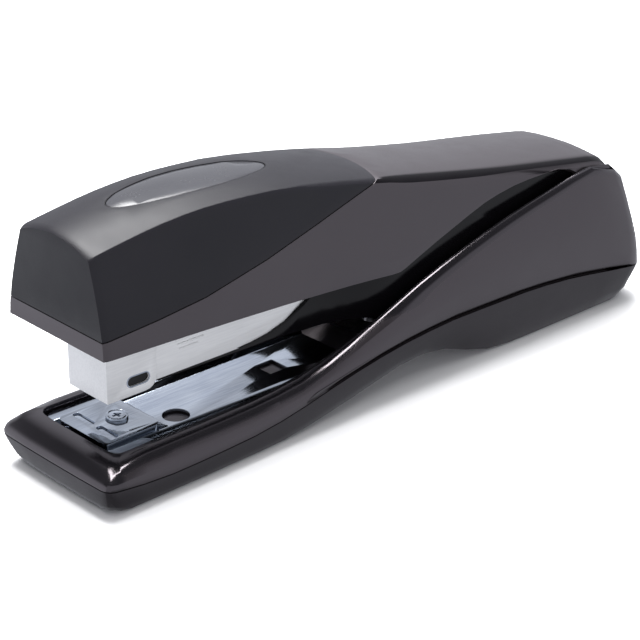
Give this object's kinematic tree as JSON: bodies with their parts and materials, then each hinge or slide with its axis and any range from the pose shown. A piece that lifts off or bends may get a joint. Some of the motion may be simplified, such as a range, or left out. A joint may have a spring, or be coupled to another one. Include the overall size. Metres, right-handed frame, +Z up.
{
  "type": "desktop stapler",
  "caption": "Full-strip desktop stapler with a pressed handle, opening magazine, spring-fed pusher, clinching anvil and hollow two-part base on rubber feet.",
  "frame": {"origin": "under the middle of the stapler's bounding box, on the plane its rubber feet rest on", "axes": "+X from the nose towards the hinge end, +Y to the side away from the camera in the picture, +Z up"},
  "size_m": [0.202, 0.0454, 0.0728],
  "materials": {
    "satin_black_plastic": "satin moulded black plastic",
    "gloss_black_plastic": "polished black plastic",
    "matte_black_plastic": "soft matt black plastic",
    "badge_grey_plastic": "smooth dark grey plastic",
    "chrome_steel": "bright nickel-chrome plated sheet steel",
    "satin_steel": "satin plated steel",
    "spring_steel": "plain spring and fastener steel",
    "black_rubber": "matt black rubber"
  },
  "bodies": {
    "base": {"base_upper_shell": "satin_black_plastic", "base_lower_shell": "satin_black_plastic", "front_foot_pad": "black_rubber", "rear_foot_pad": "black_rubber", "base_screw_1": "spring_steel", "base_screw_2": "spring_steel", "base_screw_3": "spring_steel", "base_screw_4": "spring_steel", "base_channel": "chrome_steel", "anvil_plate": "chrome_steel", "anvil_screw": "chrome_steel", "hinge_bracket": "satin_steel", "bracket_screw_1": "spring_steel", "bracket_screw_2": "spring_steel", "hinge_pin": "satin_steel", "pin_clip_left": "spring_steel", "pin_clip_right": "spring_steel", "lift_spring": "chrome_steel", "lift_spring_rivet": "spring_steel"},
    "magazine": {"magazine_channel": "satin_steel", "front_housing": "satin_steel", "magazine_carrier": "gloss_black_plastic", "carrier_rivet_1": "satin_steel", "carrier_rivet_2": "satin_steel", "staple_rail": "satin_steel", "spring_stop": "satin_steel", "guide_rod": "spring_steel", "pusher_spring": "spring_steel", "handle_spring": "spring_steel"},
    "pusher": {"pusher": "satin_steel"},
    "handle": {"handle_body": "satin_black_plastic", "front_cover": "matte_black_plastic", "badge_insert": "badge_grey_plastic", "drive_lever": "satin_steel", "lever_screw_1": "spring_steel", "lever_screw_2": "spring_steel", "driver_blade": "spring_steel", "driver_rivet_1": "spring_steel", "driver_rivet_2": "spring_steel"}
  },
  "joints": [
    {"name": "magazine_hinge", "type": "hinge", "parent": "base", "child": "magazine", "pos_m": [0.0647, 0, 0.035], "axis": [0, 1, 0], "range_deg": [-2.9, 25], "stiffness_Nm_per_rad": 7, "springref_deg": 1.72, "deforming": ["lift_spring"]},
    {"name": "handle_hinge", "type": "hinge", "parent": "magazine", "child": "handle", "pos_m": [0.0647, 0, 0.035], "axis": [0, 1, 0], "range_deg": [-2.8, 45], "stiffness_Nm_per_rad": 6, "springref_deg": 1.15, "deforming": ["handle_spring"]},
    {"name": "pusher_slide", "type": "slide", "parent": "magazine", "child": "pusher", "axis": [1, 0, 0], "range_m": [0, 0.1], "stiffness_N_per_m": 60, "springref_m": -0.02, "deforming": ["pusher_spring"]}
  ]
}
